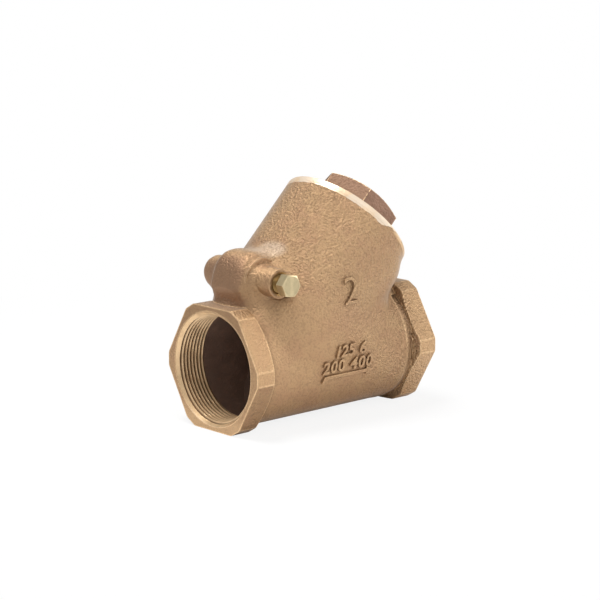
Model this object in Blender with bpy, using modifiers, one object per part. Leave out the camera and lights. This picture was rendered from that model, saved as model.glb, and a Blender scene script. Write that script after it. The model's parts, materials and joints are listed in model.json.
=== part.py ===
"""Bronze Y-pattern swing check valve for screwed pipe.

Metres, +Z up. The flow axis runs along +X, from the inlet to the outlet, and the valve stands on the lower
flats of its two hexagon ends. The origin lies on that base plane, under the middle of the flow axis. The neck
and everything in it share one tilted frame: its z runs up the neck's axis from where that crosses the flow
axis, and its x points down towards the outlet.
"""

import math

import bmesh
import bpy
from mathutils import Matrix, Vector

MM = 0.001
GAP = 0.3 * MM
TINY = 0.0001
BITE = 1.5 * MM

# Hexagon ends, with their corners cut back to a smaller width
LENGTH = 132.0 * MM
HEX_WALL = 2.5 * MM
HEX_WIDTH = 13.6 * MM
HEX_EDGE = 0.7 * MM
CORNER_CUT = 2.13 * MM

# Pipe sockets and waterway
SOCKET_R = 29.3 * MM
SOCKET_DEPTH = 18.5 * MM
MOUTH_CHAMFER = 1.7 * MM
SOCKET_STEP = 0.3 * MM
BARREL_WALL = 3.2 * MM
BEAD_WIDTH = 4.5 * MM
BEAD_RISE = 0.4 * MM

# Neck
NECK_LEAN = math.radians(45.0)
FOOT_ROOM = 9.0 * MM
NECK_TOP = 98.3 * MM
CHAMBER_R = 34.0 * MM
NECK_WALL = 3.7 * MM
NECK_STRAIGHT = 34.0 * MM
NECK_ROUND = 54.0 * MM
BAND_HEIGHT = 2.8 * MM
BAND_RISE = 0.3 * MM
BELLY_SHIFT = 5.0 * MM
BELLY_DEPTH = 5.0 * MM
BELLY_ROUND = 6.0 * MM
GLOBE_HALF_LENGTH = 46.0 * MM
GLOBE_HALF_WIDTH = 36.4 * MM
GLOBE_HALF_HEIGHT = 33.0 * MM
GLOBE_AHEAD = 49.5 * MM
GLOBE_RISE = 12.0 * MM

# Seat and bridge wall
PORT_R = 23.5 * MM
SEAT_HEIGHT = 26.5 * MM
SEAT_RISE = 2.5 * MM
SEAT_LAND = 1.8 * MM
SEAT_SLOPE = 1.9 * MM
BRIDGE_WALL = 5.1 * MM
BRIDGE_FLOOR = 8.0 * MM

# Hinge
PIN_R = 2.9 * MM
PIN_OFFSET = 35.1 * MM
PIN_RISE = 4.4 * MM
PIN_FAR = 20.7 * MM
KNUCKLE_R = 6.0 * MM
KNUCKLE_WIDTH = 15.0 * MM
POCKET_WALL = 7.2 * MM
HOUSING_WALL = 4.6 * MM
BOSS_R = 8.0 * MM
BOSS_SHORT = 10.7 * MM
BOSS_EDGE = 1.2 * MM
BLIND_REACH = 29.2 * MM
BLIND_ROUND = 4.0 * MM

# Plug in the near boss
PLUG_R = 4.9 * MM
PLUG_DEPTH = 9.2 * MM
PLUG_STAND = 3.5 * MM
PLUG_HEAD = 5.5 * MM
PLUG_FLATS = 12.0 * MM

# Cap
CAP_THREAD_R = 31.7 * MM
CAP_THREAD = 11.3 * MM
COLLAR_R = 33.9 * MM
COLLAR_DEPTH = 3.5 * MM
CAP_WALL = 5.0 * MM
CAP_FLATS = 43.3 * MM
CAP_HEAD = 15.3 * MM
CAP_TURN = math.radians(-5.0)
CHAMFER_SLOPE = 0.45

# Disc assembly, heights measured up from the seat's face
DISC_R = 27.0 * MM
SOFT_THICK = 3.5 * MM
SOFT_R = 25.6 * MM
LIP_DROP = 1.4 * MM
HOLDER_EDGE = 5.3 * MM
HOLDER_BACK = 2.5 * MM
HUB_R = 9.5 * MM
STEM_R = 4.5 * MM
STEM_SPARE = 2.4 * MM
STUD_R = 3.5 * MM
STUD_SPARE = 1.4 * MM
EYE_R = 11.0 * MM
EYE_THICK = 5.5 * MM
ARM_WIDTH = 12.0 * MM
ARM_THICK = 5.0 * MM
WASHER_THICK = 1.2 * MM
NUT_FLATS = 15.0 * MM
NUT_THICK = 4.8 * MM
SMALL_NUT_FLATS = 11.0 * MM
SMALL_NUT_THICK = 4.4 * MM
SMALL_WASHER_R = 9.5 * MM
SPLIT_R = 0.8 * MM
SPLIT_REACH = 5.6 * MM

# Fineness of the meshes
ROUND = 48
SMALL_ROUND = 24
SKIN_VOXEL = 2.0 * MM
SKIN_ROUNDS = 26
SKIN_KEEP = 0.125

# Sizes that follow from the ones above
MOUTH_R = SOCKET_R + MOUTH_CHAMFER
WATERWAY_R = SOCKET_R + SOCKET_STEP
BARREL_R = WATERWAY_R + BARREL_WALL
HEX_FLATS = 2 * (MOUTH_R + HEX_WALL)
HEX_CORNERS = HEX_FLATS * 2 / math.sqrt(3) - 2 * CORNER_CUT
AXIS_Z = HEX_FLATS / 2
SOCKET_END = LENGTH / 2 - SOCKET_DEPTH
NECK_FOOT = FOOT_ROOM - SOCKET_END
NECK_R = CHAMBER_R + NECK_WALL
BAND_R = NECK_R + BAND_RISE
FLOOR = SEAT_HEIGHT - SEAT_RISE
SEAT_BASE_R = PORT_R + SEAT_LAND + SEAT_SLOPE
PIN_X = -PIN_OFFSET
PIN_Z = SEAT_HEIGHT + PIN_RISE
POCKET_R = KNUCKLE_R + 4 * GAP
POCKET_HALF = KNUCKLE_WIDTH / 2 + 2 * GAP
HOUSING_R = POCKET_R + POCKET_WALL
HOUSING_HALF = POCKET_HALF + HOUSING_WALL
BOSS_REACH = NECK_R - BOSS_SHORT
COLLAR_SEAT = NECK_TOP - COLLAR_DEPTH
CAP_BOTTOM = COLLAR_SEAT - CAP_THREAD
SOFT_BOTTOM = SEAT_HEIGHT + GAP
SOFT_TOP = SOFT_BOTTOM + SOFT_THICK
HOLDER_FLOOR = SOFT_TOP + GAP
HUB_TOP = SEAT_HEIGHT + LIP_DROP + HOLDER_EDGE + HOLDER_BACK
EYE_BOTTOM = HUB_TOP + GAP
EYE_TOP = EYE_BOTTOM + EYE_THICK
WASHER_BOTTOM = EYE_TOP + GAP
NUT_BOTTOM = WASHER_BOTTOM + WASHER_THICK + GAP
NUT_TOP = NUT_BOTTOM + NUT_THICK
SPLIT_Z = NUT_TOP + GAP + SPLIT_R
STEM_TOP = NUT_TOP + STEM_SPARE
SMALL_WASHER_TOP = SOFT_BOTTOM - GAP
SMALL_NUT_TOP = SMALL_WASHER_TOP - WASHER_THICK - GAP
STUD_BOTTOM = SMALL_NUT_TOP - SMALL_NUT_THICK - STUD_SPARE

FLOW_FRAME = Matrix.Translation((0, 0, AXIS_Z)) @ Matrix.Rotation(math.radians(90), 4, "Y")
NECK_FRAME = Matrix.Translation((NECK_FOOT, 0, AXIS_Z)) @ Matrix.Rotation(NECK_LEAN, 4, "Y")
PIN_FRAME = NECK_FRAME @ Matrix.Translation((PIN_X, 0, PIN_Z)) @ Matrix.Rotation(math.radians(90), 4, "X")


def clear_scene():
    """Remove what the startup scene holds."""
    for thing in list(bpy.data.objects):
        bpy.data.objects.remove(thing)


def new_collection(name):
    collection = bpy.data.collections.new(name)
    bpy.context.scene.collection.children.link(collection)
    return collection


clear_scene()
PARTS = new_collection("swing_check_valve")
CUTTERS = new_collection("cutters")
CUTTERS.hide_render = True


def material(name, colour, roughness, metallic):
    """A plain Principled material."""
    made = bpy.data.materials.new(name)
    made.use_nodes = True
    shader = made.node_tree.nodes["Principled BSDF"]
    shader.inputs["Base Color"].default_value = (*colour, 1)
    shader.inputs["Roughness"].default_value = roughness
    shader.inputs["Metallic"].default_value = metallic
    made.diffuse_color = (*colour, 1)
    return made


CAST_BRONZE = material("cast_bronze", (0.52, 0.33, 0.17), 0.55, 0.8)
CAP_BRONZE = material("cap_bronze", (0.31, 0.16, 0.10), 0.6, 0.7)
TURNED_BRONZE = material("turned_bronze", (0.66, 0.46, 0.24), 0.35, 0.95)
PLUG_BRASS = material("plug_brass", (0.62, 0.55, 0.30), 0.3, 0.95)
SOFT_RING = material("soft_ring", (0.78, 0.78, 0.74), 0.5, 0.0)
STEEL = material("steel", (0.55, 0.55, 0.54), 0.35, 1.0)


def add(name, mesh, frame, collection):
    """An object for the mesh, placed by its frame. One in CUTTERS is a helper and is drawn as wire."""
    thing = bpy.data.objects.new(name, mesh)
    thing.matrix_world = frame
    collection.objects.link(thing)
    if collection is CUTTERS:
        thing.hide_render = True
        thing.display_type = "WIRE"
    return thing


def turned(name, profile, frame=Matrix(), collection=None, steps=ROUND):
    """A solid turned about the frame's z. The profile is (radius, height) points, outer side top to bottom."""
    mesh = bpy.data.meshes.new(name)
    points = [(radius, 0, height) for radius, height in profile]
    edges = [(i, i + 1) for i in range(len(points) - 1)]
    if profile[0][0] > 0:
        edges.append((len(points) - 1, 0))
    mesh.from_pydata(points, edges, [])
    thing = add(name, mesh, frame, collection or CUTTERS)
    screw = thing.modifiers.new("turn", "SCREW")
    screw.steps = screw.render_steps = steps
    screw.use_merge_vertices = True
    screw.merge_threshold = TINY / 10
    screw.use_smooth_shade = True
    return thing


def rod(name, radius, low, high, frame, steps=ROUND, edge=0.0):
    """A plain cylinder along the frame's z from low to high, with bevelled rims if an edge is given."""
    mesh = bpy.data.meshes.new(name)
    work = bmesh.new()
    place = Matrix.Translation((0, 0, (low + high) / 2))
    bmesh.ops.create_cone(
        work, cap_ends=True, segments=steps, radius1=radius, radius2=radius, depth=high - low, matrix=place
    )
    if edge:
        rims = [side for side in work.edges if side.verts[0].co.z == side.verts[1].co.z]
        bmesh.ops.bevel(work, geom=rims, offset=edge, segments=2, profile=0.5, affect="EDGES")
    work.to_mesh(mesh)
    work.free()
    return add(name, mesh, frame, CUTTERS)


def arc(centre, radius, start, end, steps):
    """Points round a centre, from the start angle to the end angle, in degrees."""
    points = []
    for i in range(steps + 1):
        angle = math.radians(start + (end - start) * i / steps)
        points.append((centre[0] + radius * math.cos(angle), centre[1] + radius * math.sin(angle)))
    return points


def plate(name, outline, half, frame, collection=None):
    """A flat outline in the frame's xy plane, thickened by half to each side, as a mesh."""
    curve = bpy.data.curves.new(name, "CURVE")
    curve.dimensions = "2D"
    curve.fill_mode = "BOTH"
    curve.extrude = half
    spline = curve.splines.new("POLY")
    spline.points.add(len(outline) - 1)
    for point, (x, y) in zip(spline.points, outline):
        point.co = (x, y, 0, 1)
    spline.use_cyclic_u = True
    return meshed(name, curve, frame, collection)


def meshed(name, curve, frame, collection=None):
    """A mesh object made from a curve, with its loose caps welded."""
    holder = bpy.data.objects.new(name, curve)
    CUTTERS.objects.link(holder)
    bpy.context.view_layer.update()
    graph = bpy.context.evaluated_depsgraph_get()
    mesh = bpy.data.meshes.new_from_object(holder.evaluated_get(graph))
    bpy.data.objects.remove(holder)
    work = bmesh.new()
    work.from_mesh(mesh)
    bmesh.ops.remove_doubles(work, verts=work.verts, dist=TINY / 10)
    bmesh.ops.recalc_face_normals(work, faces=work.faces)
    work.to_mesh(mesh)
    work.free()
    mesh.name = name
    return add(name, mesh, frame, collection or CUTTERS)


def combine(target, others, operation):
    """Boolean modifiers on the target, one for each of the others."""
    for other in others:
        boolean = target.modifiers.new(other.name, "BOOLEAN")
        boolean.operation = operation
        boolean.object = other
        boolean.solver = "EXACT"


def bevel(thing, width, segments=2):
    rounding = thing.modifiers.new("edges", "BEVEL")
    rounding.width = width
    rounding.segments = segments
    rounding.limit_method = "ANGLE"
    rounding.angle_limit = math.radians(40)


def finish(thing, finish_material, sharp=35):
    """Keep the evaluated shape as the object's own mesh, move it to PARTS and shade it smooth."""
    bpy.context.view_layer.update()
    graph = bpy.context.evaluated_depsgraph_get()
    mesh = bpy.data.meshes.new_from_object(thing.evaluated_get(graph))
    thing.modifiers.clear()
    thing.data = mesh
    mesh.name = thing.name
    mesh.materials.clear()
    mesh.materials.append(finish_material)
    mesh.shade_smooth()
    mesh.set_sharp_from_angle(angle=math.radians(sharp))
    if thing.name in CUTTERS.objects:
        CUTTERS.objects.unlink(thing)
        PARTS.objects.link(thing)
    thing.hide_render = False
    thing.display_type = "TEXTURED"
    return thing


def along(frame, height):
    return frame @ Matrix.Translation((0, 0, height))


def hexagon(flats, turn=0.0):
    """Corner points of a hexagon of the given width across flats."""
    radius = flats / math.sqrt(3)
    angles = [turn + math.radians(60 * i) for i in range(6)]
    return [(radius * math.cos(angle), radius * math.sin(angle)) for angle in angles]


def cut_hexagon():
    """The pipe ends' outline: a hexagon with flats above and below and each corner cut square."""
    points = []
    half_facet = HEX_FLATS - HEX_CORNERS * math.sqrt(3) / 2
    for i in range(6):
        angle = math.radians(30 + 60 * i)
        out = Vector((math.cos(angle), math.sin(angle))) * HEX_CORNERS / 2
        side = Vector((-math.sin(angle), math.cos(angle))) * half_facet
        points += [tuple(out - side), tuple(out + side)]
    return points


def capsule(near, near_r, far, far_r, steps=8):
    """Outline round two circles, by their outer tangents."""
    ahead = Vector(far) - Vector(near)
    heading = math.degrees(math.atan2(ahead.y, ahead.x))
    open_angle = math.degrees(math.acos((near_r - far_r) / ahead.length))
    first = arc(far, far_r, heading - open_angle, heading + open_angle, steps)
    return first + arc(near, near_r, heading + open_angle, heading + 360 - open_angle, steps)


SIDE_FRAME = NECK_FRAME @ Matrix.Rotation(math.radians(90), 4, "X")


def cast_skin():
    """The rounded cast form: barrel, neck, belly, hinge housing and bosses, melted together."""
    reach = LENGTH / 2 - HEX_WIDTH / 2
    skin = rod("body", swollen(BARREL_R), -reach, reach, FLOW_FRAME)
    wide = swollen(NECK_R)
    lower = [(wide * x, NECK_STRAIGHT + NECK_ROUND * z) for x, z in arc((0, 0), 1, 0, -90, 10)]
    top = NECK_TOP + 3 * SKIN_VOXEL
    neck = turned("neck", [(0, top), (wide, top)] + lower, NECK_FRAME)
    belly_top = NECK_TOP - BELLY_DEPTH
    shoulder = arc((wide - BELLY_ROUND, belly_top - BELLY_ROUND), BELLY_ROUND, 90, 0, 6)
    belly_frame = NECK_FRAME @ Matrix.Translation((BELLY_SHIFT, 0, 0))
    belly = turned("belly", [(0, belly_top)] + shoulder + lower, belly_frame)
    housing = rod("housing", swollen(HOUSING_R), -HOUSING_HALF, HOUSING_HALF, PIN_FRAME)
    boss_r = swollen(BOSS_R)
    end = arc((boss_r - BLIND_ROUND, BLIND_ROUND - BLIND_REACH), BLIND_ROUND, 0, -90, 5)
    profile = [(0, BOSS_REACH - BOSS_EDGE), (boss_r, BOSS_REACH - BOSS_EDGE)] + end + [(0, -BLIND_REACH)]
    bosses = turned("bosses", profile, PIN_FRAME)
    foot = plate("foot", hinge_foot(), HOUSING_HALF, SIDE_FRAME)
    combine(skin, [neck, belly, globe(), housing, bosses, foot], "UNION")
    melt = skin.modifiers.new("melt", "REMESH")
    melt.mode = "VOXEL"
    melt.voxel_size = SKIN_VOXEL
    soften = skin.modifiers.new("soften", "SMOOTH")
    soften.factor = 0.5
    soften.iterations = round(SKIN_ROUNDS)
    thin = skin.modifiers.new("thin", "DECIMATE")
    thin.ratio = SKIN_KEEP
    return skin


def swollen(radius):
    """The radius that a round form needs before melting, which draws it in by more the smaller it is."""
    return radius + SKIN_ROUNDS * SKIN_VOXEL**2 / 8 / radius


def globe():
    """The bulge round the chamber, which fills the creases between neck and barrel."""
    mesh = bpy.data.meshes.new("globe")
    work = bmesh.new()
    bmesh.ops.create_uvsphere(work, u_segments=ROUND, v_segments=ROUND // 2, radius=1.0)
    size = Vector((GLOBE_HALF_LENGTH, GLOBE_HALF_WIDTH, GLOBE_HALF_HEIGHT))
    bmesh.ops.scale(work, vec=size, verts=work.verts)
    work.to_mesh(mesh)
    work.free()
    place = Matrix.Translation((NECK_FOOT + GLOBE_AHEAD, 0, AXIS_Z + GLOBE_RISE))
    return add("globe", mesh, place, CUTTERS)


def hinge_foot():
    """Side outline of the web that carries the hinge housing down to the barrel, in the neck's x and z."""
    return [
        (PIN_X - HOUSING_R * 0.9, PIN_Z),
        (PIN_X - HOUSING_R * 0.75, PIN_Z - HOUSING_R),
        (0, 0),
        (0, PIN_Z),
    ]


def hex_ends():
    """The two wrench ends, standing flat side down."""
    ends = []
    for name, centre in (("inlet_hex", HEX_WIDTH / 2 - LENGTH / 2), ("outlet_hex", LENGTH / 2 - HEX_WIDTH / 2)):
        end = plate(name, cut_hexagon(), HEX_WIDTH / 2, along(FLOW_FRAME, centre))
        bevel(end, HEX_EDGE)
        ends.append(end)
    return ends


def waterway():
    """The straight bore with a socket and a chamfered mouth at each end."""
    half = LENGTH / 2
    mouth = half - MOUTH_CHAMFER
    right = [(0, half + BITE), (MOUTH_R + BITE, half + BITE), (SOCKET_R, mouth), (SOCKET_R, SOCKET_END)]
    right.append((WATERWAY_R, SOCKET_END - SOCKET_STEP))
    left = [(radius, -height) for radius, height in reversed(right)]
    return turned("waterway", right + left, FLOW_FRAME)


def bridge():
    """The bent wall between inlet and outlet: a leg down to the barrel and a floor round the port."""
    outer = SEAT_BASE_R + (BRIDGE_WALL - (SEAT_BASE_R - PORT_R))
    under = FLOOR - BRIDGE_FLOOR
    far = -WATERWAY_R * 2
    top = SEAT_HEIGHT + BITE
    inner = PORT_R + GAP
    outline = [(outer, top), (far, top), (far, under), (inner, under), (inner, far), (outer, far)]
    wall = plate("bridge", outline, WATERWAY_R * 2, SIDE_FRAME)
    inside = rod("inside", WATERWAY_R + BARREL_WALL / 3, -SOCKET_END, SOCKET_END, FLOW_FRAME)
    combine(wall, [inside], "INTERSECT")
    return wall


def chamber():
    """The turned hollow of the neck, from the port past the raised seat up to the collar's recess."""
    bore = CAP_THREAD_R + GAP
    undercut = CAP_BOTTOM - 3 * GAP
    profile = [
        (0, NECK_TOP + BITE),
        (COLLAR_R + GAP, NECK_TOP + BITE),
        (COLLAR_R + GAP, COLLAR_SEAT),
        (bore, COLLAR_SEAT),
        (bore, undercut),
        (CHAMBER_R, undercut - (CHAMBER_R - bore)),
        (CHAMBER_R, FLOOR + (CHAMBER_R - SEAT_BASE_R)),
        (SEAT_BASE_R + SEAT_LAND, FLOOR),
        (SEAT_BASE_R, FLOOR),
        (PORT_R + SEAT_LAND, SEAT_HEIGHT),
        (PORT_R, SEAT_HEIGHT),
        (PORT_R, FLOOR - BRIDGE_FLOOR - BITE),
        (0, FLOOR - BRIDGE_FLOOR - BITE),
    ]
    return turned("chamber", profile, NECK_FRAME)


def hinge_pocket():
    """The hollow of the hinge housing, which widens up into the neck so that the arm can swing."""
    clear_x = -(CHAMBER_R - POCKET_R)
    clear_z = PIN_Z + 2.1 * POCKET_R
    outline = capsule((PIN_X, PIN_Z), POCKET_R, (clear_x, clear_z), POCKET_R)
    return plate("pocket", outline, POCKET_HALF, SIDE_FRAME)


def body():
    """The whole casting with its machining."""
    casting = cast_skin()
    bead_low = LENGTH / 2 - HEX_WIDTH - BEAD_WIDTH - 3 * GAP
    bead = rod("bead", BARREL_R + BEAD_RISE, bead_low, bead_low + BEAD_WIDTH, FLOW_FRAME, edge=BEAD_RISE)
    band = rod("band", BAND_R, NECK_TOP - BAND_HEIGHT, NECK_TOP, NECK_FRAME, edge=BAND_RISE)
    boss = rod("near_boss", BOSS_R, 0, BOSS_REACH, PIN_FRAME, edge=BOSS_EDGE)
    combine(casting, hex_ends() + [bead, boss], "UNION")
    above = rod("above", BAND_R * 2, NECK_TOP, NECK_TOP + HEX_FLATS, NECK_FRAME)
    combine(casting, [above], "DIFFERENCE")
    combine(casting, [band], "UNION")
    combine(casting, [waterway()], "DIFFERENCE")
    combine(casting, [bridge()], "UNION")
    pin_bore = rod("pin_bore", PIN_R + GAP, -PIN_FAR - GAP, BOSS_REACH - PLUG_DEPTH + BITE, PIN_FRAME)
    plug_bore = rod("plug_bore", PLUG_R + GAP, BOSS_REACH - PLUG_DEPTH, BOSS_REACH + BITE, PIN_FRAME)
    combine(casting, [chamber(), hinge_pocket(), pin_bore, plug_bore], "DIFFERENCE")
    return finish(casting, CAST_BRONZE, sharp=28)


def chamfered_hex(name, flats, low, high, frame, turn=0.0, both=False, steps=SMALL_ROUND):
    """A hexagon solid whose corners are turned off at the top, and at the bottom if both is set."""
    solid = plate(name, hexagon(flats, turn), (high - low) / 2, along(frame, (high + low) / 2))
    corner = flats / math.sqrt(3)
    start = flats / 2 * 0.97
    drop = (corner + BITE - start) * CHAMFER_SLOPE
    profile = [(0, high + GAP), (start, high + GAP), (start, high), (corner + BITE, high - drop)]
    if both:
        profile += [(corner + BITE, low + drop), (start, low), (start, low - GAP), (0, low - GAP)]
    else:
        profile += [(corner + BITE, low - GAP), (0, low - GAP)]
    half_facet = Matrix.Rotation(math.pi / steps, 4, "Z")
    envelope = turned(name + "_envelope", profile, frame @ half_facet, steps=steps)
    combine(solid, [envelope], "INTERSECT")
    return solid


def cap():
    """The screwed bonnet: hollow plug, collar in the neck's recess and a hexagon head."""
    seat = COLLAR_SEAT + GAP
    hollow = CAP_THREAD_R - CAP_WALL
    head_hollow = CAP_FLATS / 2 - CAP_WALL
    roof = NECK_TOP + CAP_HEAD - CAP_WALL
    profile = [
        (0, NECK_TOP + GAP / 2),
        (COLLAR_R - GAP, NECK_TOP + GAP / 2),
        (COLLAR_R, NECK_TOP - GAP / 2),
        (COLLAR_R, seat),
        (CAP_THREAD_R, seat),
        (CAP_THREAD_R, CAP_BOTTOM + 3 * GAP),
        (CAP_THREAD_R - 3 * GAP, CAP_BOTTOM),
        (0, CAP_BOTTOM),
    ]
    solid = turned("cap", profile, NECK_FRAME)
    top = NECK_TOP + CAP_HEAD
    head = chamfered_hex("cap_head", CAP_FLATS, NECK_TOP - BITE, top, NECK_FRAME, CAP_TURN, steps=ROUND)
    inside = [
        (0, roof),
        (head_hollow * 0.8, roof),
        (head_hollow, roof - CAP_WALL / 2),
        (head_hollow, COLLAR_SEAT + CAP_WALL / 2),
        (hollow, CAP_BOTTOM + CAP_WALL),
        (hollow, CAP_BOTTOM - BITE),
        (0, CAP_BOTTOM - BITE),
    ]
    combine(solid, [head], "UNION")
    combine(solid, [turned("cap_hollow", inside, NECK_FRAME)], "DIFFERENCE")
    return finish(solid, CAP_BRONZE)


def hinge_pin():
    """Plain pin, held between the blind end of its bore and the plug."""
    near = BOSS_REACH - PLUG_DEPTH - GAP
    edge = GAP
    profile = [(0, near), (PIN_R - edge, near), (PIN_R, near - edge), (PIN_R, edge - PIN_FAR)]
    profile += [(PIN_R - edge, -PIN_FAR), (0, -PIN_FAR)]
    return finish(turned("hinge_pin", profile, PIN_FRAME, steps=SMALL_ROUND), STEEL)


def pin_plug():
    """Hexagon-head plug in the near boss, its head standing off the boss by a few threads."""
    inner = BOSS_REACH - PLUG_DEPTH + GAP
    face = BOSS_REACH + PLUG_STAND
    profile = [(0, face + BITE), (PLUG_R, face + BITE), (PLUG_R, inner + 2 * GAP), (PLUG_R - 2 * GAP, inner)]
    profile += [(0, inner)]
    shank = turned("pin_plug", profile, PIN_FRAME, steps=SMALL_ROUND)
    head_frame = PIN_FRAME @ Matrix.Rotation(NECK_LEAN, 4, "Z")
    head = chamfered_hex("plug_head", PLUG_FLATS, face, face + PLUG_HEAD, head_frame, steps=ROUND)
    combine(shank, [head], "UNION")
    return finish(shank, PLUG_BRASS)


def hanger_joint():
    """Empty on the hinge pin's axis, which carries the swinging pieces."""
    joint = bpy.data.objects.new("disc_swing", None)
    joint.matrix_world = PIN_FRAME
    PARTS.objects.link(joint)
    return joint


def stem_joint(parent):
    """Empty on the disc's stem axis, which carries the pieces that turn in the hanger's eye."""
    joint = bpy.data.objects.new("disc_spin", None)
    PARTS.objects.link(joint)
    hang(joint, parent, along(NECK_FRAME, EYE_BOTTOM))
    return joint


def hang(thing, parent, world):
    """Parent the thing and keep it at its place in the world."""
    thing.parent = parent
    bpy.context.view_layer.update()
    thing.matrix_world = world


def disc_hanger():
    """Knuckle on the pin, a bent arm with a rib, and the eye round the stem."""
    eye_hole = STEM_R + GAP
    eye = turned("disc_hanger", ring_profile(EYE_R, eye_hole, EYE_BOTTOM, EYE_TOP), NECK_FRAME, steps=SMALL_ROUND * 3 // 2)
    half = KNUCKLE_WIDTH / 2
    knuckle = rod("knuckle", KNUCKLE_R, -half, half, PIN_FRAME, steps=SMALL_ROUND, edge=GAP * 2)
    arm = plate("arm", arm_outline(), ARM_WIDTH / 2, SIDE_FRAME)
    bevel(arm, GAP * 2)
    stem_clear = rod("stem_clear", eye_hole, SEAT_HEIGHT, NECK_TOP, NECK_FRAME, steps=SMALL_ROUND)
    pin_clear = rod("pin_clear", PIN_R + GAP, -HOUSING_R, HOUSING_R, PIN_FRAME, steps=SMALL_ROUND)
    combine(eye, [arm, knuckle], "UNION")
    combine(eye, [stem_clear, pin_clear], "DIFFERENCE")
    return finish(eye, TURNED_BRONZE)


def arm_outline():
    """Side outline of the arm, from inside the knuckle up and over the holder to the eye."""
    low = EYE_BOTTOM + EYE_THICK - ARM_THICK
    bend = -(DISC_R - 2 * GAP)
    return [
        (PIN_X - KNUCKLE_R * 0.55, PIN_Z + KNUCKLE_R * 0.35),
        (PIN_X + KNUCKLE_R * 0.3, PIN_Z),
        (bend, low + GAP),
        (-EYE_R * 0.7, low),
        (-EYE_R * 0.7, EYE_TOP - GAP),
        (bend + ARM_THICK * 1.7, EYE_TOP + GAP / 2),
    ]


def ring_profile(outer, inner, low, high):
    return [(inner, high), (outer, high), (outer, low), (inner, low)]


def disc_holder():
    """Cup for the soft ring, with the stem behind it and the stud in front."""
    lip = SEAT_HEIGHT + LIP_DROP
    back = lip + HOLDER_EDGE
    inner = SOFT_R + GAP
    profile = [
        (0, STEM_TOP),
        (STEM_R - 2 * GAP, STEM_TOP),
        (STEM_R, STEM_TOP - 2 * GAP),
        (STEM_R, HUB_TOP),
        (HUB_R, HUB_TOP),
        (HUB_R, HUB_TOP - HOLDER_BACK / 2),
        (DISC_R - HOLDER_EDGE / 3, back),
        (DISC_R, back - HOLDER_EDGE / 4),
        (DISC_R, lip),
        (inner, lip),
        (inner, HOLDER_FLOOR),
        (STUD_R, HOLDER_FLOOR),
        (STUD_R, STUD_BOTTOM + GAP),
        (STUD_R - GAP, STUD_BOTTOM),
        (0, STUD_BOTTOM),
    ]
    holder = turned("disc_holder", profile, NECK_FRAME, steps=SMALL_ROUND * 3 // 2)
    cross = along(NECK_FRAME, SPLIT_Z) @ Matrix.Rotation(math.radians(90), 4, "X")
    hole = rod("split_hole", SPLIT_R + GAP, -STEM_R * 2, STEM_R * 2, cross, steps=SMALL_ROUND // 2)
    combine(holder, [hole], "DIFFERENCE")
    return finish(holder, TURNED_BRONZE)


def seat_disc():
    """The soft ring that closes on the seat."""
    profile = ring_profile(SOFT_R, STUD_R + GAP, SOFT_BOTTOM, SOFT_TOP)
    return finish(turned("seat_disc", profile, NECK_FRAME, steps=SMALL_ROUND * 3 // 2), SOFT_RING)


def washer(name, outer, hole, top):
    profile = ring_profile(outer, hole, top - WASHER_THICK, top)
    return finish(turned(name, profile, NECK_FRAME, steps=SMALL_ROUND), TURNED_BRONZE)


def nut(name, flats, hole, low, high):
    solid = chamfered_hex(name, flats, low, high, NECK_FRAME, both=True)
    combine(solid, [rod(name + "_hole", hole, low - BITE, high + BITE, NECK_FRAME, steps=SMALL_ROUND)], "DIFFERENCE")
    return finish(solid, TURNED_BRONZE)


def split_pin():
    """Wire through the stem: an eye on one side and a bent leg on the other."""
    curve = bpy.data.curves.new("split_pin", "CURVE")
    curve.dimensions = "3D"
    curve.bevel_depth = SPLIT_R
    curve.bevel_resolution = 2
    curve.use_fill_caps = True
    spline = curve.splines.new("POLY")
    bend = arc((-SPLIT_REACH, 2 * SPLIT_R), 2 * SPLIT_R, 270, 180, 4)
    route = [(SPLIT_REACH, 0)] + bend + [(-SPLIT_REACH - 2 * SPLIT_R, 4 * SPLIT_R)]
    spline.points.add(len(route) - 1)
    for point, (y, z) in zip(spline.points, route):
        point.co = (0, y, z, 1)
    return finish(meshed("split_pin", curve, along(NECK_FRAME, SPLIT_Z)), STEEL)


def build():
    """Make every piece, then hang the moving ones on their joints."""
    for make in (body, cap, hinge_pin, pin_plug):
        make()
    swing = hanger_joint()
    spin = stem_joint(swing)
    hanger = disc_hanger()
    hang(hanger, swing, hanger.matrix_world.copy())
    assembly = [
        disc_holder(),
        seat_disc(),
        washer("retaining_washer", SMALL_WASHER_R, STUD_R + GAP, SMALL_WASHER_TOP),
        nut("retaining_nut", SMALL_NUT_FLATS, STUD_R + GAP, SMALL_NUT_TOP - SMALL_NUT_THICK, SMALL_NUT_TOP),
        washer("hanger_washer", HUB_R, STEM_R + GAP, WASHER_BOTTOM + WASHER_THICK),
        nut("hanger_nut", NUT_FLATS, STEM_R + GAP, NUT_BOTTOM, NUT_TOP),
        split_pin(),
    ]
    for piece in assembly:
        hang(piece, spin, piece.matrix_world.copy())


build()
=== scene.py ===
"""Bronze Y-pattern swing check valve, dressed for a picture: surfaces, threads, marks, light and camera.

Metres, +Z up. The valve stands on its hexagon ends, the flow runs along +X, and the neck leans towards the
outlet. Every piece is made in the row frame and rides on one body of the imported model.
"""

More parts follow.
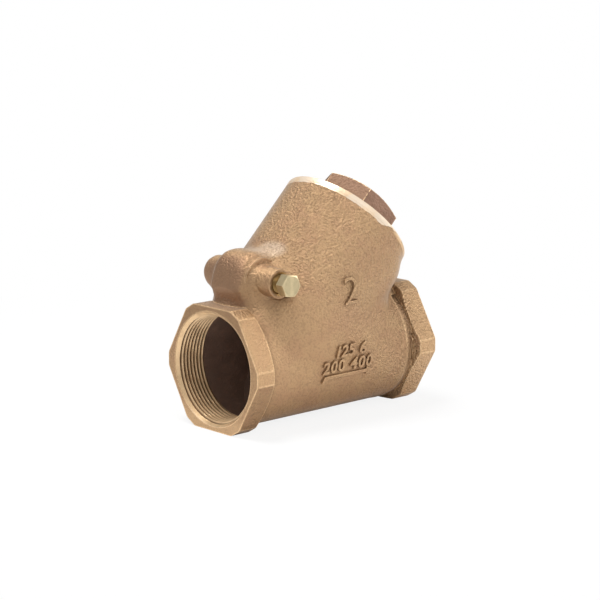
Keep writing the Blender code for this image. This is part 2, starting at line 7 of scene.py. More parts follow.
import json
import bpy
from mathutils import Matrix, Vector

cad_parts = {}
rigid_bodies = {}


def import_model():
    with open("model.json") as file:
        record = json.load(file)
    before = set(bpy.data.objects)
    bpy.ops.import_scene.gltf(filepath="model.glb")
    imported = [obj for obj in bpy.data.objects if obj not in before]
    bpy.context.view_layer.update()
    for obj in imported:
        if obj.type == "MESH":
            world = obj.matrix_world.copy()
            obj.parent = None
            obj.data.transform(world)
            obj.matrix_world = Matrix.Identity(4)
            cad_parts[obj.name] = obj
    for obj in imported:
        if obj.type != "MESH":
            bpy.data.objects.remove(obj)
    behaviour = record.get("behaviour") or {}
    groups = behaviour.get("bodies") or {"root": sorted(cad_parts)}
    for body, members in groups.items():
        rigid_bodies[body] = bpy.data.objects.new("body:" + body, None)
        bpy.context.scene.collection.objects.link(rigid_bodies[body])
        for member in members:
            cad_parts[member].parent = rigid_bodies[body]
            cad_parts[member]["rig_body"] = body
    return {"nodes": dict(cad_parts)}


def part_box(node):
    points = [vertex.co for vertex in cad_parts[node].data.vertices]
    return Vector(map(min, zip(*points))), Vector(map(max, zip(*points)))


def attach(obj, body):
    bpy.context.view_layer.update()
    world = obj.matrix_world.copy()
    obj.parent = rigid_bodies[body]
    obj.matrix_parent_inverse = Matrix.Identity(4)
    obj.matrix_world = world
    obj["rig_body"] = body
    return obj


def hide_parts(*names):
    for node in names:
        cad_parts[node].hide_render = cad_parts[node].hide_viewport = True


bl_info = {
    "name": "Swing Check Valve",
    "version": (1, 0, 0),
    "blender": (4, 5, 0),
    "location": "View3D > Sidebar > Valve",
    "description": "Casting, screwed parts, disc assembly and studio of a bronze swing check valve",
    "category": "Object",
}

from math import acos, atan2, ceil, cos, degrees, pi, radians, sin, sqrt

import bmesh
import bpy
from bpy.props import FloatProperty, FloatVectorProperty, IntProperty, PointerProperty
from mathutils import Matrix, Vector
from mathutils.bvhtree import BVHTree

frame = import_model()

MM = 0.001
GAP = 0.3 * MM  # between pieces that mustn't touch
BITE = 1.5 * MM  # that cutters run past what they cut
WELD = 0.01 * MM
ENVELOPE_STEPS = 96

BODY_LOW, BODY_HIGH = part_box("body")
LENGTH = BODY_HIGH.x - BODY_LOW.x

# Hexagon ends
HEX_FLATS = 67.0 * MM
HEX_CORNERS = 73.1 * MM
HEX_WIDTH = 13.6 * MM
HEX_EDGE = 0.7 * MM
HEX_CORNER_ROUND = 0.9 * MM
HEX_BACK_R = 33.4 * MM
HEX_BACK_SLOPE = 0.55
HEX_BACK = LENGTH / 2 - HEX_WIDTH
HEX_FACET = HEX_FLATS - HEX_CORNERS * sqrt(3) / 2  # half the width of the facet across a corner

# Sockets and waterway
SOCKET_DEPTH = 18.5 * MM
MOUTH_R = 31.0 * MM
WATERWAY_R = 29.6 * MM
BARREL_R = 32.8 * MM
BEAD_WIDTH = 4.5 * MM
BEAD_RISE = 0.4 * MM
RECESS_WIDTH = 4.8 * MM
RECESS_R = 32.5 * MM
RECESS_TOP = 61.5 * MM
THREAD_CREST = 0.06  # of a turn, on each side of the crest's middle
THREAD_FLANK = 0.38  # of a turn

# Neck
NECK_LEAN = radians(45.0)
NECK_FOOT = -38.5 * MM
NECK_TOP = 98.3 * MM
CHAMBER_R = 34.0 * MM
NECK_R = 37.7 * MM
NECK_STRAIGHT = 34.0 * MM
NECK_ROUND = 54.0 * MM
BAND_HEIGHT = 2.8 * MM
BAND_R = 38.0 * MM
BELLY_SHIFT = 5.0 * MM
BELLY_DEPTH = 5.0 * MM
BELLY_ROUND = 6.0 * MM
GLOBE_SIZE = Vector((46.0, 36.4, 33.0)) * MM
GLOBE_PLACE = Vector((11.0, 0.0, 12.0)) * MM

# Seat and bridge wall
PORT_R = 23.5 * MM
SEAT_HEIGHT = 26.5 * MM
SEAT_RISE = 2.5 * MM
SEAT_LAND = 1.8 * MM
SEAT_SLOPE = 1.9 * MM
BRIDGE_WALL = 5.1 * MM
BRIDGE_FLOOR = 8.0 * MM
BRIDGE_ROUND = 1.2 * MM

# Hinge
PIN_R = 2.9 * MM
PIN_X = -35.1 * MM
PIN_Z = 30.9 * MM
PIN_FAR = 20.7 * MM
POCKET_R = 7.2 * MM
POCKET_HALF = 8.1 * MM
POCKET_LIFT = 15.12 * MM
HOUSING_R = 14.4 * MM
HOUSING_HALF = 12.7 * MM
HOUSING_SHORT = 2.0 * MM
FOOT_BACK = 0.9 * HOUSING_R
FOOT_LOW = 0.75 * HOUSING_R
BOSS_R = 8.0 * MM
BOSS_REACH = 27.0 * MM
BOSS_EDGE = 0.5 * MM
CORE_END = BOSS_REACH - 6.0 * MM
RIDGE_R = 12.0 * MM
RIDGE_RISE = 0.3 * MM
RIDGE_EDGE = 0.5 * MM
BLIND_REACH = 29.2 * MM
BLIND_ROUND = 4.0 * MM

# Plug in the near boss
PLUG_R = 4.9 * MM
PLUG_DEPTH = 9.2 * MM
PLUG_STAND = 3.5 * MM
PLUG_HEAD = 5.5 * MM
PLUG_FLATS = 11.2 * MM
PLUG_TURN = radians(-7.6)
PLUG_FACE = 0.91
PLUG_THREAD = 0.55 * MM
PLUG_LEAD = 0.8 * MM
SINK_WIDTH = 1.9 * MM
SINK_DEPTH = 0.8 * MM

# Cap
CAP_THREAD_R = 31.7 * MM
CAP_THREAD = 11.3 * MM
COLLAR_R = 33.9 * MM
COLLAR_DEPTH = 3.5 * MM
CAP_WALL = 5.0 * MM
CAP_FLATS = 43.3 * MM
CAP_HEAD = 15.3 * MM
CAP_TURN = radians(-5.0)
CAP_FACE = 0.97
CHAMFER_SLOPE = 0.45

# Marks: text, height, centre in x and z, width, thinning of the strokes and spacing
FIGURES = (
    ("2", 15.0 * MM, (-1.0 * MM, 39.8 * MM), 1.02, 0.35 * MM, 1.0),
    ("125 6", 6.6 * MM, (1.1 * MM, 6.8 * MM), 1.1, -0.05 * MM, 1.0),
    ("200 400", 6.6 * MM, (0.8 * MM, -1.4 * MM), 1.05, -0.05 * MM, 1.15),
)
FONT_SIZE = 1.42  # for a figure of height 1
MARK_CELL = 1.1 * MM
MARK_SUNK = 0.3 * MM
ARROW_TAIL = -16.4 * MM
ARROW_TIP = 20.0 * MM
ARROW_Z = -7.2 * MM

# Grain of the finishes, as the size of one lump and the depth of its relief
PEEL_CELL = 1.25 * MM
GRIT_CELL = 0.5 * MM
WAVE_CELL = 9.0 * MM
CAST_RELIEF = 2.4 * MM
CAP_RELIEF = 0.7 * MM
INSIDE_RELIEF = 0.25 * MM
# Place and size of the painted highlight above the hinge housing, and the pale colour of the painted sheen at
# grazing angles
HIGHLIGHT_PLACE = Vector((-32.0, -7.0, 95.0)) * MM
HIGHLIGHT_SIZE = Vector((12.0, 11.0, 5.0)) * MM
SHEEN = (0.64, 0.54, 0.45)

# Studio: place and width of each lamp, and the camera's aim off the flow axis, to the right and up
LAMPS = {
    "key": ((-0.3, 0.2, 1.35), 0.55),
    "front": ((-0.25, -1.3, 0.7), 0.9),
    "side": ((1.1, -0.75, 0.45), 0.7),
}
FLOOR_HALF = 6.0
FLOOR_COLOUR = (0.9, 0.9, 0.9)
SENSOR = 36.0
AIM_RIGHT = -2.29 * MM
AIM_UP = 28.15 * MM

# Sizes that follow
AXIS_Z = HEX_FLATS / 2
FLOOR = SEAT_HEIGHT - SEAT_RISE
SEAT_BASE_R = PORT_R + SEAT_LAND + SEAT_SLOPE
COLLAR_SEAT = NECK_TOP - COLLAR_DEPTH
CAP_BOTTOM = COLLAR_SEAT - CAP_THREAD

FLOW_FRAME = Matrix.Translation((0, 0, AXIS_Z)) @ Matrix.Rotation(radians(90), 4, "Y")
NECK_FRAME = Matrix.Translation((NECK_FOOT, 0, AXIS_Z)) @ Matrix.Rotation(NECK_LEAN, 4, "Y")
PIN_FRAME = NECK_FRAME @ Matrix.Translation((PIN_X, 0, PIN_Z)) @ Matrix.Rotation(radians(90), 4, "X")
SIDE_FRAME = NECK_FRAME @ Matrix.Rotation(radians(90), 4, "X")
END_FRAMES = {"inlet": FLOW_FRAME @ Matrix.Rotation(pi, 4, "X"), "outlet": FLOW_FRAME}


def number(name, description, default, unit="NONE"):
    return FloatProperty(name=name, description=description, default=default, unit=unit, precision=5)


def whole(name, description, default, low, high):
    return IntProperty(name=name, description=description, default=default, min=low, max=high)


def colour(name, description, *default):
    return FloatVectorProperty(
        name=name, description=description, default=default, subtype="COLOR", min=0, max=1
    )


class ValveSizes(bpy.types.PropertyGroup):
    """Sizes of the fine forms that the plain solids leave out."""

    thread_pitch: number("Thread pitch", "Advance of the pipe thread in one turn", 2.209 * MM, "LENGTH")
    thread_depth: number("Thread depth", "Height of the pipe thread from crest to root", 1.6 * MM, "LENGTH")
    thread_crest: number("Crest radius", "Radius of the pipe thread's crest at the mouth", 28.7 * MM, "LENGTH")
    thread_taper: number("Thread taper", "Loss of radius for each unit of depth", 1 / 32)
    plug_pitch: number("Plug pitch", "Advance of the small plug's thread in one turn", 0.94 * MM, "LENGTH")
    mark_rise: number("Mark height", "How far the cast marks stand out of the flank", 1.1 * MM, "LENGTH")
    skin_voxel: number("Skin cell", "Cell of the grid that melts the cast forms together", 2.0 * MM, "LENGTH")
    skin_smoothing: whole("Skin smoothing", "Rounds of smoothing that make the casting's fillets", 26, 0, 200)
    turned_steps: whole("Turned facets", "Facets round a turned form", 128, 24, 256)


class ValveColours(bpy.types.PropertyGroup):
    """Colours of the finishes, in linear light."""

    cast: colour("Cast bronze", "Blasted cast skin", 0.52, 0.333, 0.18)
    cast_red: colour("Cast bronze, red", "Copper-coloured patches of the skin", 0.455, 0.26, 0.152)
    # Tarnish in pits; the same colour is also laid on as painted shade in corners, grooves and on sides turned
    # from the light
    tarnish_and_shade: colour("Cast bronze, deep", "Tarnish in pits and corners", 0.19, 0.106, 0.053)
    machined: colour("Machined bronze", "Fresh cut metal of rims, faces and threads", 0.85, 0.595, 0.34)
    rim: colour("Rim", "Bright turned band round the neck's top", 0.86, 0.715, 0.56)
    inside: colour("Inside", "Dark oxide of the waterway", 0.23, 0.145, 0.108)
    cap: colour("Cap bronze", "Redder and darker bronze of the cap", 0.308, 0.175, 0.115)
    film: colour("Brass film", "Golden film on the plug's thread and in its hole", 0.30, 0.18, 0.06)
    plug: colour("Plug brass", "Pale yellow brass of the plug", 0.54, 0.44, 0.262)
    ring: colour("Soft ring", "White sealing ring of the disc", 0.76, 0.75, 0.70)
    steel: colour("Steel", "Stainless steel of the pins", 0.56, 0.56, 0.55)


class ValveStudio(bpy.types.PropertyGroup):
    """Camera and light."""

    azimuth: number("Azimuth", "Camera's angle round the valve", radians(-42.35), "ROTATION")
    elevation: number("Elevation", "Camera's angle above the horizon", radians(11.17), "ROTATION")
    distance: number("Distance", "From the camera to the point it looks at", 1.0991, "LENGTH")
    lens: number("Lens", "Focal length in millimetres", 119.77)
    key: number("Key light", "Power of the large soft lamp above the inlet", 15.0, "POWER")
    front: number("Front light", "Power of the soft lamp on the side of the plug", 4.0, "POWER")
    side: number("Side light", "Power of the low lamp on the outlet's side", 6.0, "POWER")
    surround: number("Surround", "Strength of the even light all round", 0.45)


# Geometry helpers


def add(name, data, place=Matrix()):
    """An object for a mesh, curve, lamp or camera."""
    thing = bpy.data.objects.new(name, data)
    thing.matrix_world = place
    bpy.context.scene.collection.objects.link(thing)
    return thing


def mesh_of(name, work, place=Matrix()):
    """An object made from a bmesh."""
    mesh = bpy.data.meshes.new(name)
    work.to_mesh(mesh)
    work.free()
    return add(name, mesh, place)


def arc(centre, radius, start, end, steps):
    """Points round a centre, from the start angle to the end angle, in degrees."""
    points = []
    for i in range(steps + 1):
        angle = radians(start + (end - start) * i / steps)
        points.append((centre[0] + radius * cos(angle), centre[1] + radius * sin(angle)))
    return points


def turned(name, profile, place=Matrix(), steps=0):
    """A solid turned about the frame's z, from (radius, height) points, outer side top to bottom."""
    steps = steps or bpy.context.scene.valve_sizes.turned_steps
    mesh = bpy.data.meshes.new(name)
    edges = [(i, i + 1) for i in range(len(profile) - 1)]
    if profile[0][0] > 0:
        edges.append((len(profile) - 1, 0))
    mesh.from_pydata([(radius, 0, height) for radius, height in profile], edges, [])
    thing = add(name, mesh, place)
    screw = thing.modifiers.new("turn", "SCREW")
    screw.steps = screw.render_steps = steps
    screw.use_merge_vertices = True
    screw.merge_threshold = WELD
    return thing


def rod(name, radius, low, high, place, steps=0, edge=0.0):
    """A cylinder along the frame's z, with rounded rims if an edge is given."""
    work = bmesh.new()
    middle = Matrix.Translation((0, 0, (low + high) / 2))
    steps = steps or bpy.context.scene.valve_sizes.turned_steps
    bmesh.ops.create_cone(
        work, cap_ends=True, segments=steps, radius1=radius, radius2=radius, depth=high - low, matrix=middle
    )
    if edge:
        rims = [side for side in work.edges if side.verts[0].co.z == side.verts[1].co.z]
        bmesh.ops.bevel(work, geom=rims, offset=edge, segments=4, profile=0.5, affect="EDGES")
    return mesh_of(name, work, place)


def plate(name, outline, half, place):
    """A flat outline in the frame's xy plane, thickened by half to each side."""
    work = bmesh.new()
    sides = [[work.verts.new((x, y, z)) for x, y in outline] for z in (-half, half)]
    work.faces.new(reversed(sides[0]))
    work.faces.new(sides[1])
    for i in range(len(outline)):
        j = (i + 1) % len(outline)
        work.faces.new((sides[0][i], sides[0][j], sides[1][j], sides[1][i]))
    bmesh.ops.recalc_face_normals(work, faces=work.faces)
    return mesh_of(name, work, place)


def combine(target, others, operation, solver="EXACT", finish=None):
    """A Boolean modifier on the target for each of the others, which bring their finish."""
    for other in others:
        if finish:
            other.data.materials.append(finish)
        boolean = target.modifiers.new(other.name, "BOOLEAN")
        boolean.operation = operation
        boolean.object = other
        boolean.solver = solver
        boolean.material_mode = "TRANSFER"


def bevel(thing, width, segments=3, angle=40):
    rounding = thing.modifiers.new("edges", "BEVEL")
    rounding.width = width
    rounding.segments = segments
    rounding.limit_method = "ANGLE"
    rounding.angle_limit = radians(angle)


def settle(thing):
    """Make the evaluated shape the object's own mesh, in the row frame."""
    bpy.context.view_layer.update()
    graph = bpy.context.evaluated_depsgraph_get()
    mesh = bpy.data.meshes.new_from_object(thing.evaluated_get(graph))
    thing.modifiers.clear()
    mesh.transform(thing.matrix_world)
    thing.matrix_world = Matrix()
    thing.data = mesh
    mesh.name = thing.name
    return thing


def clear_helpers(keep):
    """Remove the cutters and blanks that were used on the way."""
    for thing in list(bpy.context.scene.objects):
        if thing.type == "MESH" and thing not in keep and "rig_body" not in thing and not thing.get("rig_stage"):
            bpy.data.objects.remove(thing)


def dress(thing, finish, body, node="", sharp=30):
    """Finish and shade the piece, hang it on its body and hide the imported part it stands for."""
    if finish:
        thing.data.materials.clear()
        thing.data.materials.append(finish)
    thing.data.shade_smooth()
    thing.data.set_sharp_from_angle(angle=radians(sharp))
    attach(thing, body)
    if node:
        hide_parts(node)


def along(place, height):
    return place @ Matrix.Translation((0, 0, height))


def envelope(profile, place, turn):
    """The turned form that cuts a hexagon's corners back, its facets turned off the flats."""
    return turned("envelope", profile, place @ Matrix.Rotation(turn, 4, "Z"), steps=ENVELOPE_STEPS)


def hexagon(flats, turn=0.0):
    """Corner points of a hexagon of the given width across flats."""
    radius = flats / sqrt(3)
    angles = [turn + radians(60 * i) for i in range(6)]
    return [(radius * cos(angle), radius * sin(angle)) for angle in angles]


def cut_hexagon():
    """The pipe ends' outline: a hexagon with flats above and below and each corner cut square."""
    points = []
    for i in range(6):
        angle = radians(30 + 60 * i)
        out = Vector((cos(angle), sin(angle))) * HEX_CORNERS / 2
        side = Vector((-sin(angle), cos(angle))) * HEX_FACET
        points += [tuple(out - side), tuple(out + side)]
    return points


def capsule(near, near_r, far, far_r, steps=16):
    """Outline round two circles, by their outer tangents."""
    ahead = Vector(far) - Vector(near)
    heading = degrees(atan2(ahead.y, ahead.x))
    open_angle = degrees(acos((near_r - far_r) / ahead.length))
    first = arc(far, far_r, heading - open_angle, heading + open_angle, steps)
    return first + arc(near, near_r, heading + open_angle, heading + 360 - open_angle, steps)


def thread_form(phase):
    """A thread's flank along one turn, from 0 at the crest to 1 at the root."""
    place = phase % 1.0
    return min(1.0, max(0.0, (0.5 - abs(place - 0.5) - THREAD_CREST) / THREAD_FLANK))


def helical_rod(name, radius_at, length, pitch, place, steps, rings_each):
    """A closed rod along z. Its radius follows a helix, by radius_at(height, phase of the turn)."""
    rings = ceil(length / pitch * rings_each)
    work = bmesh.new()
    grid = []
    for i in range(rings + 1):
        height = length * i / rings
        ring = []
        for j in range(steps):
            angle = 2 * pi * j / steps
            radius = radius_at(height, height / pitch - j / steps)
            ring.append(work.verts.new((radius * cos(angle), radius * sin(angle), height)))
        grid.append(ring)
    for i in range(rings):
        for j in range(steps):
            k = (j + 1) % steps
            work.faces.new((grid[i][j], grid[i][k], grid[i + 1][k], grid[i + 1][j]))
    work.faces.new(reversed(grid[0]))
    work.faces.new(grid[-1])
    return mesh_of(name, work, place)


# Casting


def swollen(radius):
    """The radius a round form needs before melting, which draws small ones in by more."""
    sizes = bpy.context.scene.valve_sizes
    return radius + sizes.skin_smoothing * sizes.skin_voxel**2 / 8 / radius


def cast_skin():
    """Barrel, neck, belly, hinge housing and bosses, melted together."""
    sizes = bpy.context.scene.valve_sizes
    reach = LENGTH / 2 - HEX_WIDTH / 2
    skin = rod("valve_casting", swollen(BARREL_R), -reach, reach, FLOW_FRAME, steps=64)
    wide = swollen(NECK_R)
    lower = [(wide * x, NECK_STRAIGHT + NECK_ROUND * z) for x, z in arc((0, 0), 1, 0, -90, 12)]
    spare = NECK_TOP + 3 * sizes.skin_voxel
    neck = turned("neck", [(0, spare), (wide, spare)] + lower, NECK_FRAME, steps=64)
    belly_top = NECK_TOP - BELLY_DEPTH
    shoulder = arc((wide - BELLY_ROUND, belly_top - BELLY_ROUND), BELLY_ROUND, 90, 0, 6)
    belly_frame = NECK_FRAME @ Matrix.Translation((BELLY_SHIFT, 0, 0))
    belly = turned("belly", [(0, belly_top)] + shoulder + lower, belly_frame, steps=64)
    near = HOUSING_HALF - HOUSING_SHORT
    housing = rod("housing", swollen(HOUSING_R), -HOUSING_HALF, near, PIN_FRAME, steps=48)
    boss_r = swollen(BOSS_R)
    end = arc((boss_r - BLIND_ROUND, BLIND_ROUND - BLIND_REACH), BLIND_ROUND, 0, -90, 5)
    core = BOSS_R + GAP
    profile = [(0, CORE_END), (core, CORE_END), (core, 0), (boss_r, -BITE)] + end + [(0, -BLIND_REACH)]
    bosses = turned("bosses", profile, PIN_FRAME, steps=48)
    web = [(PIN_X - FOOT_BACK, PIN_Z), (PIN_X - FOOT_LOW, PIN_Z - HOUSING_R), (0, 0), (0, PIN_Z)]
    foot = plate("foot", web, HOUSING_HALF, SIDE_FRAME)
    combine(skin, [neck, belly, globe(), housing, bosses, foot], "UNION")
    melt = skin.modifiers.new("melt", "REMESH")
    melt.mode = "VOXEL"
    melt.voxel_size = sizes.skin_voxel
    soften = skin.modifiers.new("soften", "SMOOTH")
    soften.factor = 0.5
    soften.iterations = sizes.skin_smoothing
    finer = skin.modifiers.new("finer", "SUBSURF")
    finer.levels = finer.render_levels = 1
    return skin


def globe():
    """The bulge round the chamber, which fills the creases between neck and barrel."""
    work = bmesh.new()
    bmesh.ops.create_uvsphere(work, u_segments=64, v_segments=32, radius=1.0)
    bmesh.ops.scale(work, vec=GLOBE_SIZE, verts=work.verts)
    return mesh_of("globe", work, Matrix.Translation(GLOBE_PLACE + Vector((0, 0, AXIS_Z))))


def hex_ends():
    """The two wrench ends, flat side down, with their rear corners turned off."""
    ends = []
    corner = HEX_CORNERS / 2 + BITE
    drop = (corner - HEX_BACK_R) * HEX_BACK_SLOPE
    back, front = HEX_BACK, LENGTH / 2
    profile = [(0, front), (corner, front), (corner, back + drop), (HEX_BACK_R, back), (0, back - BITE)]
    for name, place in END_FRAMES.items():
        end = plate(name + "_hex", cut_hexagon(), HEX_WIDTH, along(place, back + HEX_WIDTH / 2))
        bevel(end, HEX_CORNER_ROUND, angle=18)
        combine(end, [envelope(profile, place, 0.01)], "INTERSECT")
        bevel(end, HEX_EDGE, angle=25)
        ends.append(end)
    return ends


def socket_cutters():
    """The threaded hollow of each pipe end, with its chamfered mouth."""
    sizes = bpy.context.scene.valve_sizes
    reach = SOCKET_DEPTH + BITE / 3

    def radius_at(height, phase):
        depth = SOCKET_DEPTH - height
        crest = sizes.thread_crest - depth * sizes.thread_taper
        thread = crest + sizes.thread_depth * thread_form(phase)
        return max(thread, MOUTH_R - max(depth, -GAP))

    cutters = []
    for name, place in END_FRAMES.items():
        start = along(place, LENGTH / 2 - SOCKET_DEPTH)
        cutters.append(helical_rod(name + "_socket", radius_at, reach, sizes.thread_pitch, start, 144, 12))
    return cutters


def bridge():
    """The bent wall between inlet and outlet: a leg, and a floor round the port."""
    outer = SEAT_BASE_R + (BRIDGE_WALL - (SEAT_BASE_R - PORT_R))
    under = FLOOR - BRIDGE_FLOOR
    far = -WATERWAY_R * 2
    top = SEAT_HEIGHT + BITE
    inner = PORT_R + GAP
    outline = [(outer, top), (far, top), (far, under), (inner, under), (inner, far), (outer, far)]
    wall = plate("bridge", outline, WATERWAY_R * 2, SIDE_FRAME)
    half = LENGTH / 2 - SOCKET_DEPTH
    inside = rod("inside", WATERWAY_R + MM, -half, half, FLOW_FRAME)
    combine(wall, [inside], "INTERSECT")
    bevel(wall, BRIDGE_ROUND)
    return wall


def chamber():
    """The turned hollow of the neck, from the port up to the collar's recess."""
    bore = CAP_THREAD_R + GAP
    undercut = CAP_BOTTOM - 3 * GAP
    profile = [
        (0, NECK_TOP + BITE), (COLLAR_R + GAP, NECK_TOP + BITE), (COLLAR_R + GAP, COLLAR_SEAT),
        (bore, COLLAR_SEAT), (bore, undercut), (CHAMBER_R, undercut - (CHAMBER_R - bore)),
        (CHAMBER_R, FLOOR + (CHAMBER_R - SEAT_BASE_R)), (SEAT_BASE_R + SEAT_LAND, FLOOR),
        (SEAT_BASE_R, FLOOR), (PORT_R + SEAT_LAND, SEAT_HEIGHT), (PORT_R, SEAT_HEIGHT),
        (PORT_R, FLOOR - BRIDGE_FLOOR - BITE), (0, FLOOR - BRIDGE_FLOOR - BITE),
    ]
    return turned("chamber", profile, NECK_FRAME)


def hinge_pocket():
    """The hollow of the hinge housing, open above so that the arm can swing."""
    clear = (POCKET_R - CHAMBER_R, PIN_Z + POCKET_LIFT)
    outline = capsule((PIN_X, PIN_Z), POCKET_R, clear, POCKET_R)
    return plate("pocket", outline, POCKET_HALF, SIDE_FRAME)


def plug_hole():
    """The near boss's countersunk hole, with the pin's bore behind it."""
    mouth = BOSS_REACH + GAP
    step = BOSS_REACH - PLUG_DEPTH
    profile = [
        (0, mouth), (PLUG_R + GAP + SINK_WIDTH, mouth), (PLUG_R + GAP, mouth - SINK_DEPTH),
        (PLUG_R + GAP, step), (PIN_R + GAP, step), (PIN_R + GAP, -PIN_FAR - GAP), (0, -PIN_FAR - GAP),
    ]
    return turned("plug_hole", profile, PIN_FRAME, steps=64)


def make_casting(cast, machined, inside):
    """The whole casting with its machining and threads."""
    casting = cast_skin()
    casting.data.materials.append(cast)
    lip = HEX_BACK - RECESS_WIDTH
    bead_r = BARREL_R + BEAD_RISE
    bead = rod("bead", bead_r, lip - BEAD_WIDTH, lip + GAP, FLOW_FRAME, edge=BEAD_RISE)
    step = [(bead_r, lip), (RECESS_R, lip + BITE), (RECESS_R, HEX_BACK)]
    recess = turned("recess", [(HEX_FLATS, HEX_BACK), (HEX_FLATS, lip)] + step, FLOW_FRAME)
    under_neck = rod("under_neck", LENGTH, RECESS_TOP, LENGTH, Matrix.Identity(4))
    combine(recess, [under_neck], "DIFFERENCE")
    boss = rod("near_boss", BOSS_R, 0, BOSS_REACH, PIN_FRAME, steps=64, edge=BOSS_EDGE)
    ridge = rod("housing_ridge", RIDGE_R, 0, HOUSING_HALF + RIDGE_RISE, PIN_FRAME, steps=64, edge=RIDGE_EDGE)
    above = rod("above", BAND_R * 2, NECK_TOP, NECK_TOP + HEX_FLATS, NECK_FRAME)
    band = rod("band", BAND_R, NECK_TOP - BAND_HEIGHT, NECK_TOP, NECK_FRAME, edge=0.25 * MM)
    bore = rod("collar_recess", COLLAR_R + GAP, COLLAR_SEAT, NECK_TOP + BITE, NECK_FRAME)
    half = LENGTH / 2 - SOCKET_DEPTH + GAP
    waterway = rod("waterway", WATERWAY_R, -half, half, FLOW_FRAME)
    steps = (
        ([bead], "UNION", cast),
        ([recess], "DIFFERENCE", cast),
        (hex_ends() + [ridge, boss], "UNION", cast),
        ([above], "DIFFERENCE", machined),
        ([band], "UNION", cast),
        (socket_cutters(), "DIFFERENCE", machined),
        ([waterway], "DIFFERENCE", inside),
        ([bridge()], "UNION", inside),
        ([chamber(), hinge_pocket()], "DIFFERENCE", inside),
        ([bore, plug_hole()], "DIFFERENCE", machined),
    )
    for others, operation, finish in steps:
        combine(casting, others, operation, "MANIFOLD", finish)
    return settle(casting)


# Marks


def mark_curve(name, kind):
    """A flat outline that becomes a low pad with rounded edges."""
    curve = bpy.data.curves.new(name, kind)
    if kind == "CURVE":
        curve.dimensions = "2D"
    curve.fill_mode = "BOTH"
    curve.extrude = 0.3 * MM
    curve.bevel_depth = 0.2 * MM
    curve.bevel_resolution = 2
    return curve


def numeral(text, height, centre, width, thin, spacing):
    """Plain raised figures, given by their height and their centre in x and z."""
    curve = mark_curve("numeral", "FONT")
    curve.body = text
    curve.size = height * FONT_SIZE
    curve.align_x = "CENTER"
    curve.space_character = spacing
    curve.offset = -thin
    return flat_mark(curve, centre, width, height / 2)


def flow_arrow(tail, tip, centre_z):
    """A thin arrow along the flow, with a barbed tail."""
    half = 0.75 * MM
    curve = mark_curve("flow_arrow", "CURVE")
    head = 4.2 * MM
    outline = [
        (tail, -2.4 * MM), (tail + 1.6 * MM, -2.4 * MM), (tail + 3.4 * MM, -half), (tip - head, -half),
        (tip - head, -1.9 * MM), (tip, 0), (tip - head, 1.9 * MM), (tip - head, half), (tail + 1.2 * MM, half),
    ]
    spline = curve.splines.new("POLY")
    spline.points.add(len(outline) - 1)
    for point, (x, z) in zip(spline.points, outline):
        point.co = (x, z, 0, 1)
    spline.use_cyclic_u = True
    return flat_mark(curve, (0, centre_z), 1.0, 0)


def flat_mark(curve, centre, width, drop):
    """A fine mesh of the curve, at its place in x and z. Its y is 0 at the foot and 1 on top."""
    holder = add("holder", curve)
    bpy.context.view_layer.update()
    mesh = bpy.data.meshes.new_from_object(holder.evaluated_get(bpy.context.evaluated_depsgraph_get()))
    bpy.data.objects.remove(holder)
    work = bmesh.new()
    work.from_mesh(mesh)
    bmesh.ops.remove_doubles(work, verts=work.verts, dist=WELD)
    bmesh.ops.triangulate(work, faces=work.faces)
    for _ in range(3):
        long = [edge for edge in work.edges if edge.calc_length() > MARK_CELL]
        bmesh.ops.subdivide_edges(work, edges=long, cuts=1)
        bmesh.ops.triangulate(work, faces=work.faces)
    low = min(vertex.co.z for vertex in work.verts)
    high = max(vertex.co.z for vertex in work.verts)
    for vertex in work.verts:
        x, z, depth = vertex.co
        vertex.co = (centre[0] + x * width, (depth - low) / (high - low), centre[1] + z - drop)
    return work


def lay_on(work, surface, rise):
    """Press the mark against the near side of the surface, its foot a little sunk."""
    for vertex in work.verts:
        x, height, z = vertex.co
        place, normal, _, _ = surface.ray_cast(Vector((x, -1, z + AXIS_Z)), Vector((0, 1, 0)))
        vertex.co = place + normal * (height * (rise + MARK_SUNK) - MARK_SUNK)
    bmesh.ops.recalc_face_normals(work, faces=work.faces)


def make_marks(casting, cast):
    """The figures and the flow arrow on the near flank."""
    rise = bpy.context.scene.valve_sizes.mark_rise
    surface = BVHTree.FromObject(casting, bpy.context.evaluated_depsgraph_get())
    all_marks = bmesh.new()
    for work in [numeral(*figure) for figure in FIGURES] + [flow_arrow(ARROW_TAIL, ARROW_TIP, ARROW_Z)]:
        lay_on(work, surface, rise)
        part = bpy.data.meshes.new("mark")
        work.to_mesh(part)
        work.free()
        all_marks.from_mesh(part)
    marks = mesh_of("cast_marks", all_marks)
    dress(marks, cast, "valve_body", sharp=60)
    return marks


# Materials


def operator_pair(operation):
    """An arithmetic operator's methods, with the value first and last."""
    return (
        lambda self, other: self.math(operation, self, other),
        lambda self, other: self.math(operation, other, self),
    )


class Socket:
    """A value in a material's node tree that takes part in Python arithmetic."""

    def __init__(self, paint, link):
        self.paint = paint
        self.link = link

    def math(self, operation, *values):
        return self.paint.node("Math", {"operation": operation}, dict(enumerate(values)))

    __add__, __radd__ = operator_pair("ADD")
    __sub__, __rsub__ = operator_pair("SUBTRACT")
    __mul__, __rmul__ = operator_pair("MULTIPLY")
    __truediv__, __rtruediv__ = operator_pair("DIVIDE")
    __pow__, __rpow__ = operator_pair("POWER")

    def __abs__(self):
        return self.math("ABSOLUTE", self)

    def above(self, start, width):
        """A soft step from 0 at start to 1 at start plus width."""
        limits = {"Value": self, "From Min": start, "From Max": start + width}
        return self.paint.node("MapRange", {"interpolation_type": "SMOOTHSTEP"}, limits)

    def near(self, place, width):
        """1 at the place and 0 at more than the width from it."""
        return 1 - abs(self - place).above(width * 0.4, width * 0.6)

    def larger(self, other):
        return self.math("MAXIMUM", self, other)


